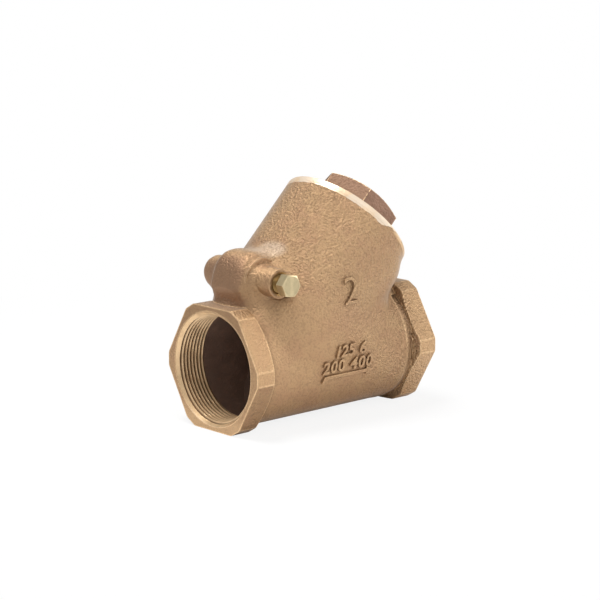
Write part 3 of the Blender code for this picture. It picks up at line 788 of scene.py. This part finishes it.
class Paint:
    """A material that is built node by node, with its colour laid on coat by coat."""

    def __init__(self, name, colour="cast"):
        self.material = bpy.data.materials.new(name)
        self.material.use_nodes = True
        self.tree = self.material.node_tree
        self.shader = self.tree.nodes["Principled BSDF"]
        self.place = self.node("TexCoord", output="Object")
        self.x, self.y, self.z = (
            self.node("SeparateXYZ", sockets={"Vector": self.place}, output=axis) for axis in "XYZ"
        )
        self.lift = self.z - AXIS_Z
        self.radius = (self.lift**2 + self.y**2) ** 0.5
        self.colour = self.named(colour)

    def feed(self, node, sockets):
        """Link each value to the node's input or set it there."""
        for key, value in sockets.items():
            inlet = node.inputs[key]
            if isinstance(value, Socket):
                self.tree.links.new(value.link, inlet)
            else:
                inlet.default_value = (*value, 1) if inlet.type == "RGBA" else value

    def node(self, kind, settings=None, sockets=None, output=0):
        """Add a node, set it up, feed its inputs, and hand back one output."""
        made = self.tree.nodes.new("ShaderNode" + kind)
        for key, value in (settings or {}).items():
            setattr(made, key, value)
        self.feed(made, sockets or {})
        return Socket(self, made.outputs[output])

    def named(self, name, share=1.0):
        """One of the valve's colours, made darker or lighter."""
        return [min(1.0, part * share) for part in getattr(bpy.context.scene.valve_colours, name)]

    def mix(self, first, second, factor):
        return self.node("Mix", {"data_type": "RGBA"}, {0: factor, 6: first, 7: second}, output=2)

    def coat(self, name, factor, share=1.0):
        """Lay a named colour, made darker or lighter, over what is there."""
        self.colour = self.mix(self.colour, self.named(name, share), factor)

    def noise(self, cell, detail=2.0, roughness=0.5, distortion=0.0, vector=None):
        """Noise of about 0 to 1 whose lumps are one cell across."""
        sockets = {"Vector": vector or self.place, "Scale": 1 / cell, "Detail": detail}
        sockets |= {"Roughness": roughness, "Distortion": distortion}
        return self.node("TexNoise", {}, sockets)

    def join(self, x, y, z):
        return self.node("CombineXYZ", sockets={"X": x, "Y": y, "Z": z})

    def facing(self, axis):
        """How far the surface looks along an axis."""
        normal = self.node("NewGeometry", output="Normal")
        return self.node("SeparateXYZ", sockets={"Vector": normal}, output=axis)

    def from_pin(self):
        """Distance from the hinge pin's axis."""
        hinge = PIN_FRAME.translation
        return ((self.x - hinge.x) ** 2 + (self.z - hinge.z) ** 2) ** 0.5

    def in_neck(self):
        """Height along the neck's axis, place across it, and distance from it."""
        ahead = self.x - NECK_FOOT
        across = (ahead - self.lift) * sqrt(0.5)
        return (ahead + self.lift) * sqrt(0.5), across, (across**2 + self.y**2) ** 0.5

    def hollow(self, reach):
        """1 in corners and grooves and 0 in the open."""
        return 1 - self.node("AmbientOcclusion", {"samples": 8}, {"Distance": reach}, output="AO")

    def edges(self, reach):
        """1 on sharp edges, 0 on flats."""
        rounded = self.node("Bevel", {"samples": 6}, {"Radius": reach})
        flat = self.node("NewGeometry", output="Normal")
        dot = {"operation": "DOT_PRODUCT"}
        same = self.node("VectorMath", dot, {0: rounded, 1: flat}, output="Value")
        return (1 - same).above(0.003, 0.04)

    def finish(self, rough, metal, height, relief):
        """Feed the shader, with the height as a relief of the given depth."""
        normal = self.node("Bump", {}, {"Strength": 1.0, "Distance": relief, "Height": height})
        values = {"Base Color": self.colour, "Roughness": rough, "Metallic": metal, "Normal": normal}
        self.feed(self.shader, values)
        return self.material


def cast_grain(paint):
    """Orange-peel height of the blasted sand casting."""
    peel = paint.noise(PEEL_CELL, 1.5, distortion=0.15)
    grit = paint.noise(GRIT_CELL, roughness=0.6)
    waves = paint.noise(WAVE_CELL, 1.0)
    return peel * 0.66 + grit * 0.16 + waves * 0.18, peel, grit


class Ends:
    """Soft masks of the hexagon ends and of what lies round them."""

    def __init__(self, paint):
        lift, radius = paint.lift, paint.radius
        self.ahead = abs(paint.x) - HEX_BACK
        self.outlet = paint.x.above(0.0, MM)
        self.inlet = 1 - self.outlet
        self.within = 1 - radius.above(HEX_CORNERS / 2 + 0.2 * MM, 0.3 * MM)
        self.front = self.ahead.above(HEX_WIDTH - 0.7 * MM, 0.4 * MM)
        slope = (radius - HEX_BACK_R).larger(0.0) * HEX_BACK_SLOPE
        self.behind = 1 - (self.ahead - slope).above(0.1 * MM, 0.2 * MM)
        flank = self.within * (1 - self.front)
        self.bare = (1 - self.behind) * radius.above(HEX_BACK_R, 0.1 * MM) * flank
        side = radius.above(HEX_BACK_R + MM, MM) * self.ahead.above(MM, MM) * flank
        # The light lines along the edges of each hexagon's corner facets and along the lip before the outlet's
        # recess are painted highlights, partly edge wear
        turn = lift.math("ARCTAN2", lift, paint.y)
        from_corner = turn.math("PINGPONG", turn, radians(30)) * radius
        lip = paint.x.near(HEX_BACK - RECESS_WIDTH - 0.5 * MM, 0.9 * MM) * lift.above(-8 * MM, 16 * MM)
        lip = lip * (1 - paint.z.above(RECESS_TOP - 3 * MM, 3 * MM))
        self.ridge = from_corner.near(HEX_FACET, 0.8 * MM) * side + lip
        self.past_lip = self.ahead.above(-RECESS_WIDTH - BITE, 0.5 * MM)


def paint_skin(paint, peel, grit, ends):
    """Copper patches, dark pits, and painted shade in corners and creases."""
    patches = paint.noise(14.0 * MM, 3.0, 0.6).above(0.38, 0.3)
    paint.coat("cast_red", patches * 0.45)
    paint.coat("tarnish_and_shade", (1 - peel).above(0.44, 0.22) * 0.26 + (1 - grit).above(0.5, 0.3) * 0.16)
    # Painted shade: darker in corners and creases, less so in the outlet's recess, and darker at the marks' feet
    # and in fine creases
    paint.coat("tarnish_and_shade", paint.hollow(7 * MM) * (0.7 - ends.past_lip * ends.outlet * 0.45))
    paint.coat("tarnish_and_shade", paint.hollow(1.2 * MM) * 0.75)


def paint_hinge(paint, peel):
    """Painted shade on the hinge housing's side that looks towards -X, and a painted highlight on the fillet
    above it.
    """
    housing = (1 - paint.from_pin().above(16 * MM, 12 * MM)) * paint.y.above(-15 * MM, 3 * MM)
    west = paint.facing("X").above(-0.4, -0.4)
    # Painted shade in the cap's darker colour on the faces that look towards -X
    paint.coat("cap", housing * west * 0.62)
    # Painted highlight: a pale patch in the rim's colour on the fillet, broken by the grain
    axes = zip((paint.x, paint.y, paint.z), HIGHLIGHT_PLACE, HIGHLIGHT_SIZE)
    across, along_y, up = (((axis - centre) / size) ** 2 for axis, centre, size in axes)
    painted_highlight = 1 - (across + along_y + up).above(0.1, 1.0)
    paint.coat("rim", painted_highlight * (0.25 + peel * 0.35))


def paint_rim(paint):
    """The turned band at the neck's top, with its ragged lower edge. Hands back its mask."""
    up, across, spread = paint.in_neck()
    outer = spread.above(NECK_R - 1.5 * MM, 0.1 * MM)
    ragged = paint.noise(5.0 * MM, 3.0) * 1.8 * MM
    narrow = across.above(-9 * MM, 8 * MM) * 3.0 * MM
    band = (up - ragged - narrow).above(NECK_TOP - BAND_HEIGHT - 2.0 * MM, 0.25 * MM) * outer
    cut = paint.mix(paint.named("rim"), paint.named("machined"), paint.noise(8 * MM).above(0.42, 0.25) * 0.6)
    paint.colour = paint.mix(paint.colour, cut, band * 0.95)
    thin = up.near(NECK_TOP - 1.3 * MM, 0.9 * MM) * across.above(0.0, 3 * MM) * outer
    paint.coat("machined", thin * 0.8)
    return band


def paint_ends(paint, ends):
    """Painted shade in the groove behind each hexagon, painted light and shade on its flanks, and on its face
    painted shade above and machined colour with painted light below.
    """
    lift = paint.lift
    # Painted shade in the groove behind each hexagon, deepest in a pocket at the top of the outlet's recess
    pocket = ends.ahead.above(-3.2 * MM, 1.2 * MM) * paint.z.above(50 * MM, 6 * MM) * ends.outlet * 0.25
    paint.coat("tarnish_and_shade", (ends.ahead.above(-4 * MM, 4 * MM) * 0.3 + pocket) * ends.behind)
    # Painted shade on the inlet hexagon's lower flanks
    upper = lift.above(-4.5 * MM, 1.5 * MM) * (1 - lift.above(29 * MM, 4 * MM) * ends.inlet)
    paint.coat("tarnish_and_shade", ends.bare * ends.inlet * (1 - upper) * 0.16)
    # Painted light: the outlet's flanks and the inlet's upper flanks in a lighter cast colour
    paint.coat("cast", ends.bare * (ends.outlet * 0.5).larger(upper * 0.42), 1.35)
    # Painted shade at the top of each hexagon's front face
    paint.coat("tarnish_and_shade", ends.front * lift.above(8 * MM, 18 * MM) * 0.3)
    # The bottom of each front face in machined colour, partly faced metal, partly painted light
    paint.coat("machined", ends.front * (1 - lift.above(-31 * MM, 14 * MM)) * 0.45)


def cast_bronze():
    """Blasted bronze skin with tarnish in pits, copper patches, painted shade and light, worn edges with painted
    highlights, a painted sheen and a machined rim.
    """
    paint = Paint("cast_bronze")
    height, peel, grit = cast_grain(paint)
    ends = Ends(paint)
    paint_skin(paint, peel, grit, ends)
    paint_hinge(paint, peel)
    band = paint_rim(paint)
    paint_ends(paint, ends)
    # Worn edges and the painted highlight lines, in a lighter machined colour
    broken = paint.noise(2.2 * MM).above(0.3, 0.3)
    wear_and_highlight = paint.edges(1.3 * MM) * (broken * 0.4 + ends.past_lip * ends.within * 0.6)
    wear_and_highlight = wear_and_highlight.larger(ends.ridge * (broken * 0.45 + 0.15))
    paint.coat("machined", wear_and_highlight * 0.9, 1.15)
    # Painted sheen: the pale reflection of the white surround laid on at grazing angles
    grazing = paint.node("LayerWeight", {}, {"Blend": 0.5}, output="Facing").above(0.6, 0.4)
    paint.colour = paint.mix(paint.colour, SHEEN, grazing * 0.5)
    up = paint.in_neck()[0]
    coarse = (0.28 + up.above(22 * MM, 34 * MM) * 0.72 * (1 - ends.front)).larger(ends.bare * 0.48)
    rough = 0.45 + (1 - coarse) * 0.14 + (peel - 0.5) * 0.2 - wear_and_highlight * 0.1
    return paint.finish(rough, 0.75 - band * 0.25, height * coarse * (1 - band * 0.9), CAST_RELIEF)


def machined_bronze():
    """Fresh cut bronze with fine tool marks round the flow axis, painted shade in the thread's roots and in
    corners, and painted light and shade on the end faces.
    """
    sizes = bpy.context.scene.valve_sizes
    paint = Paint("machined_bronze", "machined")
    lift, radius = paint.lift, paint.radius
    marks = paint.noise(0.25 * MM, vector=paint.join(paint.x, radius, 0.0))
    blotches = paint.noise(6.0 * MM, 3.0)
    paint.coat("cast", blotches.above(0.4, 0.35) * 0.55)
    depth = LENGTH / 2 - abs(paint.x)
    into = radius - sizes.thread_crest + depth * sizes.thread_taper
    in_socket = depth.above(1.6 * MM, 0.4 * MM) * (1 - radius.above(MOUTH_R, MM))
    # Painted shade in the thread's roots
    paint.coat("tarnish_and_shade", into.above(0.45 * MM, 0.6 * MM) * in_socket * 0.85)
    paint.coat("film", (1 - paint.from_pin().above(BOSS_R, MM)) * 0.9, 1.6)
    # Painted shade in corners
    paint.coat("tarnish_and_shade", paint.hollow(2.5 * MM) * 0.25)
    face = abs(paint.x).above(LENGTH / 2 - 0.2 * MM, 0.1 * MM)
    # Painted light: the end faces lighter towards the bottom
    paint.coat("rim", face * (1 - lift.above(-30 * MM, 14 * MM)) * 0.55)
    unfaced = face * (lift * 0.6 + paint.y * 0.8 + paint.noise(9 * MM) * 14 * MM).above(11 * MM, 10 * MM)
    dull = paint.mix(paint.named("cast"), paint.named("tarnish_and_shade"), 0.28)
    paint.colour = paint.mix(paint.colour, dull, unfaced * 0.9)
    # Painted shade at the far corner of each end face
    paint.coat("tarnish_and_shade", paint.y.above(31 * MM, 3 * MM) * face * 0.5)
    rough = 0.28 + marks * 0.12 + blotches * 0.08 + unfaced * 0.2
    return paint.finish(rough, 0.75 - in_socket * 0.3, marks, 0.03 * MM)


def dark_inside():
    """Unworked casting inside the waterway, brown with oxide."""
    paint = Paint("dark_inside", "inside")
    height, _, grit = cast_grain(paint)
    stains = paint.noise(8.0 * MM, 4.0, 0.65)
    paint.coat("inside", stains.above(0.42, 0.4) * 0.5, 1.7)
    return paint.finish(0.62 + (grit - 0.5) * 0.2, 0.3, height, INSIDE_RELIEF)


def cap_bronze():
    """Darker, redder casting of the cap with painted shade on its faces towards -X and bright worn edges, partly
    painted highlights.
    """
    paint = Paint("cap_bronze", "cap")
    height, peel, grit = cast_grain(paint)
    patches = paint.noise(4.0 * MM, 5.0, 0.7)
    paint.coat("cap", patches.above(0.4, 0.25) * 0.7, 0.6)
    paint.coat("cast_red", patches.above(0.52, 0.2) * 0.6)
    paint.coat("tarnish_and_shade", (1 - grit).above(0.5, 0.3) * 0.3)
    # Painted shade on the faces that look towards -X
    paint.coat("tarnish_and_shade", paint.facing("X").above(0.0, -0.3) * 0.5)
    # Bright worn edges, partly painted highlights
    wear_and_highlight = paint.edges(0.8 * MM) * paint.noise(1.6 * MM).above(0.3, 0.25)
    paint.coat("machined", wear_and_highlight * 0.85)
    return paint.finish(0.55 + (peel - 0.5) * 0.2 - wear_and_highlight * 0.15, 0.5, height, CAP_RELIEF)


def plug_brass():
    """Drawn yellow brass with a turned face and a golden film on its thread, painted shade in its corners and
    painted highlights on the head.
    """
    paint = Paint("plug_brass", "plug")
    base = -BOSS_REACH - PLUG_STAND
    streaks = paint.noise(0.5 * MM, 3.0, distortion=0.4)
    paint.coat("plug", paint.noise(3.0 * MM, 3.0).above(0.42, 0.3) * 0.5, 0.72)
    # Painted shade in corners
    paint.coat("tarnish_and_shade", paint.hollow(2.0 * MM) * 0.6)
    shank = paint.y.above(base, 0.1 * MM)
    paint.coat("film", shank * 0.95)
    from_pin = paint.from_pin()
    front = 1 - paint.y.above(base - PLUG_HEAD + 0.8 * MM, 0.1 * MM)
    # Painted highlights: a light ring on the head's chamfer and a light streak down the turned face, joined with
    # the worn edges
    chamfer = from_pin.above(PLUG_FLATS / 2 * 0.92, 0.2 * MM) * front
    aside = abs(paint.x - PIN_FRAME.translation.x) - from_pin * 0.1
    streak = (1 - aside.above(0.2 * MM, 1.4 * MM)) * front * streaks
    wear_and_highlight = (paint.edges(0.35 * MM) * (1 - shank)).larger(chamfer * 0.7).larger(streak)
    paint.coat("plug", wear_and_highlight * 0.8, 1.4)
    return paint.finish(0.3 + streaks * 0.14, 0.85, streaks, 0.04 * MM)


def turned_bronze():
    """Turned bronze of the pieces inside, with rings round the neck's axis and painted shade in corners."""
    paint = Paint("turned_bronze", "machined")
    up, _, spread = paint.in_neck()
    marks = paint.noise(0.3 * MM, vector=paint.join(spread, up, 0.0))
    film = paint.noise(5.0 * MM, 4.0, 0.6)
    paint.coat("cast", film.above(0.4, 0.3) * 0.7)
    # Painted shade in corners
    paint.coat("tarnish_and_shade", paint.hollow(3 * MM) * 0.6)
    return paint.finish(0.3 + marks * 0.16, 0.85, marks, 0.04 * MM)


def soft_ring():
    """White sealing plastic, slightly stained."""
    paint = Paint("soft_ring", "ring")
    stains = paint.noise(7.0 * MM, 4.0, 0.6)
    specks = paint.noise(0.6 * MM)
    paint.coat("ring", stains.above(0.42, 0.3) * 0.5, 0.82)
    return paint.finish(0.42 + specks * 0.12, 0.0, specks, 0.03 * MM)


def steel():
    """Drawn stainless steel with lengthwise scratches."""
    paint = Paint("steel", "steel")
    scratches = paint.noise(0.2 * MM, 3.0, vector=paint.join(paint.x, paint.y * 0.08, paint.z))
    paint.coat("steel", scratches.above(0.4, 0.3) * 0.5, 0.7)
    return paint.finish(0.26 + scratches * 0.18, 0.95, scratches, 0.02 * MM)


def floor_finish():
    """Pale studio floor that keeps a soft shadow and melts into the white surround."""
    paint = Paint("studio_floor")
    paint.feed(paint.shader, {"Base Color": FLOOR_COLOUR, "Roughness": 0.9, "Metallic": 0.0})
    glow = paint.node("Emission", {}, {"Color": (1.0, 1.0, 1.0)})
    seen = paint.node("LightPath", output="Is Camera Ray")
    mirrored = paint.node("LightPath", output="Is Glossy Ray")
    far = (paint.x**2 + paint.y**2) ** 0.5
    white = (seen * (0.86 + far.above(0.08, 0.3) * 0.14)).larger(mirrored * far.above(0.07, 0.12) * 0.9)
    lit = Socket(paint, paint.shader.outputs[0])
    blend = paint.node("MixShader", {}, {0: white, 1: lit, 2: glow})
    paint.feed(paint.tree.nodes["Material Output"], {"Surface": blend})
    return paint.material


# Operators


class VALVE_OT_body(bpy.types.Operator):
    """Make the casting with its hexagon ends, pipe threads, seat and hinge housing"""

    bl_idname = "valve.body"
    bl_label = "Body"

    def execute(self, context):
        cast = cast_bronze()
        casting = make_casting(cast, machined_bronze(), dark_inside())
        dress(casting, None, "valve_body", "body")
        marks = make_marks(casting, cast)
        clear_helpers([casting, marks])
        return {"FINISHED"}


def chamfered_hex(name, flats, low, high, place, face, turn=0.0):
    """A hexagon solid whose corners are turned off at the top, to a face of the given share of its flats."""
    solid = plate(name, hexagon(flats, turn), (high - low) / 2, along(place, (high + low) / 2))
    corner = flats / sqrt(3)
    start = flats / 2 * face
    drop = (corner + BITE - start) * CHAMFER_SLOPE
    profile = [(0, high + GAP), (start, high + GAP), (start, high), (corner + BITE, high - drop)]
    profile += [(corner + BITE, low - GAP), (0, low - GAP)]
    combine(solid, [envelope(profile, place, pi / ENVELOPE_STEPS)], "INTERSECT")
    return solid


class VALVE_OT_cap(bpy.types.Operator):
    """Make the screwed cap with its hexagon head"""

    bl_idname = "valve.cap"
    bl_label = "Cap"

    def execute(self, context):
        seat = COLLAR_SEAT + GAP
        hollow = CAP_THREAD_R - CAP_WALL
        head_hollow = CAP_FLATS / 2 - CAP_WALL
        top = NECK_TOP + CAP_HEAD
        roof = top - CAP_WALL
        profile = [
            (0, NECK_TOP + GAP / 2), (COLLAR_R - GAP, NECK_TOP + GAP / 2), (COLLAR_R, NECK_TOP - GAP / 2),
            (COLLAR_R, seat), (CAP_THREAD_R, seat), (CAP_THREAD_R, CAP_BOTTOM + 3 * GAP),
            (CAP_THREAD_R - 3 * GAP, CAP_BOTTOM), (0, CAP_BOTTOM),
        ]
        cap = turned("screwed_cap", profile, NECK_FRAME)
        head = chamfered_hex("cap_head", CAP_FLATS, NECK_TOP - BITE, top, NECK_FRAME, CAP_FACE, CAP_TURN)
        bevel(head, 0.7 * MM, angle=14)
        inside = [
            (0, roof), (head_hollow * 0.8, roof), (head_hollow, roof - CAP_WALL / 2),
            (head_hollow, COLLAR_SEAT + CAP_WALL / 2), (hollow, CAP_BOTTOM + CAP_WALL),
            (hollow, CAP_BOTTOM - BITE), (0, CAP_BOTTOM - BITE),
        ]
        combine(cap, [head], "UNION")
        combine(cap, [turned("cap_hollow", inside, NECK_FRAME)], "DIFFERENCE")
        settle(cap)
        dress(cap, cap_bronze(), "valve_body", "cap")
        clear_helpers([cap])
        return {"FINISHED"}


class VALVE_OT_plug(bpy.types.Operator):
    """Make the threaded hexagon plug that closes the hinge pin's hole"""

    bl_idname = "valve.plug"
    bl_label = "Plug"

    def execute(self, context):
        pitch = context.scene.valve_sizes.plug_pitch
        inner = BOSS_REACH - PLUG_DEPTH + GAP
        face = BOSS_REACH + PLUG_STAND
        length = face - inner + BITE

        def radius_at(height, phase):
            crest = PLUG_R - PLUG_THREAD * thread_form(phase)
            return min(crest, PLUG_R - PLUG_LEAD + height)

        shank = helical_rod("brass_plug", radius_at, length, pitch, along(PIN_FRAME, inner), 64, 10)
        head_frame = PIN_FRAME @ Matrix.Rotation(NECK_LEAN + PLUG_TURN, 4, "Z")
        head = chamfered_hex("plug_head", PLUG_FLATS, face, face + PLUG_HEAD, head_frame, PLUG_FACE)
        bevel(head, 0.2 * MM, segments=2, angle=20)
        combine(shank, [head], "UNION", "MANIFOLD")
        settle(shank)
        dress(shank, plug_brass(), "valve_body", "pin_plug")
        clear_helpers([shank])
        return {"FINISHED"}


class VALVE_OT_disc(bpy.types.Operator):
    """Finish the hinge pin, hanger, disc holder, soft ring, washers, nuts and split pin"""

    bl_idname = "valve.disc"
    bl_label = "Disc and hinge"

    def execute(self, context):
        finishes = {
            turned_bronze: (
                "disc_hanger", "disc_holder", "retaining_washer", "retaining_nut",
                "hanger_washer", "hanger_nut",
            ),
            soft_ring: ("seat_disc",),
            steel: ("hinge_pin", "split_pin"),
        }
        for make, names in finishes.items():
            finish = make()
            for name in names:
                materials = frame["nodes"][name].data.materials
                materials.clear()
                materials.append(finish)
        return {"FINISHED"}


class VALVE_OT_stage(bpy.types.Operator):
    """Set up the pale floor, the surround, the soft lamps and the camera"""

    bl_idname = "valve.stage"
    bl_label = "Stage"

    def execute(self, context):
        studio = context.scene.valve_studio
        context.scene.view_settings.view_transform = "Standard"
        work = bmesh.new()
        bmesh.ops.create_grid(work, x_segments=1, y_segments=1, size=FLOOR_HALF)
        floor = mesh_of("floor", work)
        floor.data.materials.append(floor_finish())
        floor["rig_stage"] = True
        self.surround(studio.surround)
        for name, (place, width) in LAMPS.items():
            self.lamp(name + "_lamp", place, width, getattr(studio, name))
        self.camera(context, studio)
        return {"FINISHED"}

    def surround(self, strength):
        world = bpy.context.scene.world = bpy.data.worlds.new("surround")
        world.use_nodes = True
        tree = world.node_tree
        background = tree.nodes["Background"]
        background.inputs["Color"].default_value = (1, 1, 1, 1)
        path = tree.nodes.new("ShaderNodeLightPath")
        level = tree.nodes.new("ShaderNodeMapRange")
        level.inputs["To Min"].default_value = strength
        tree.links.new(path.outputs["Is Camera Ray"], level.inputs["Value"])
        tree.links.new(level.outputs[0], background.inputs["Strength"])

    def lamp(self, name, place, width, power):
        light = bpy.data.lights.new(name, "AREA")
        light.shape = "DISK"
        light.size = width
        light.energy = power
        aim = Vector((0, 0, 2 * AXIS_Z)) - Vector(place)
        add(name, light, Matrix.Translation(place) @ aim.to_track_quat("-Z", "Y").to_matrix().to_4x4())

    def camera(self, context, studio):
        turn, lift = studio.azimuth, studio.elevation
        back = Vector((sin(turn) * cos(lift), -cos(turn) * cos(lift), sin(lift)))
        right = Vector((cos(turn), sin(turn), 0))
        up = back.cross(right)
        aim = Vector((0, 0, AXIS_Z)) + right * AIM_RIGHT + up * AIM_UP
        camera = bpy.data.cameras.new("camera")
        camera.sensor_width = SENSOR
        camera.lens = studio.lens
        camera.clip_start = 0.05
        camera.clip_end = 50.0
        facing = Matrix((right, up, back)).transposed().to_4x4()
        place = Matrix.Translation(aim + back * studio.distance)
        context.scene.camera = add("camera", camera, place @ facing)


class VALVE_PT_panel(bpy.types.Panel):
    """Lists the valve's pieces, sizes, colours and studio"""

    bl_idname = "VALVE_PT_panel"
    bl_label = "Swing Check Valve"
    bl_space_type = "VIEW_3D"
    bl_region_type = "UI"
    bl_category = "Valve"

    def draw(self, context):
        layout = self.layout
        for operator in OPERATORS:
            layout.operator(operator.bl_idname)
        for group in ("valve_sizes", "valve_colours", "valve_studio"):
            box = layout.box()
            settings = getattr(context.scene, group)
            for name in settings.bl_rna.properties.keys():
                if name not in ("rna_type", "name"):
                    box.prop(settings, name)


OPERATORS = (VALVE_OT_body, VALVE_OT_cap, VALVE_OT_plug, VALVE_OT_disc, VALVE_OT_stage)
GROUPS = {"valve_sizes": ValveSizes, "valve_colours": ValveColours, "valve_studio": ValveStudio}
CLASSES = (*GROUPS.values(), *OPERATORS, VALVE_PT_panel)


def register():
    for kind in CLASSES:
        bpy.utils.register_class(kind)
    for name, group in GROUPS.items():
        setattr(bpy.types.Scene, name, PointerProperty(type=group))


def unregister():
    for name in GROUPS:
        delattr(bpy.types.Scene, name)
    for kind in reversed(CLASSES):
        bpy.utils.unregister_class(kind)


def main():
    """Make every piece and the stage."""
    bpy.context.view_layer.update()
    register()
    bpy.ops.valve.body()
    bpy.ops.valve.cap()
    bpy.ops.valve.plug()
    bpy.ops.valve.disc()
    bpy.ops.valve.stage()


if __name__ == "__main__":
    main()
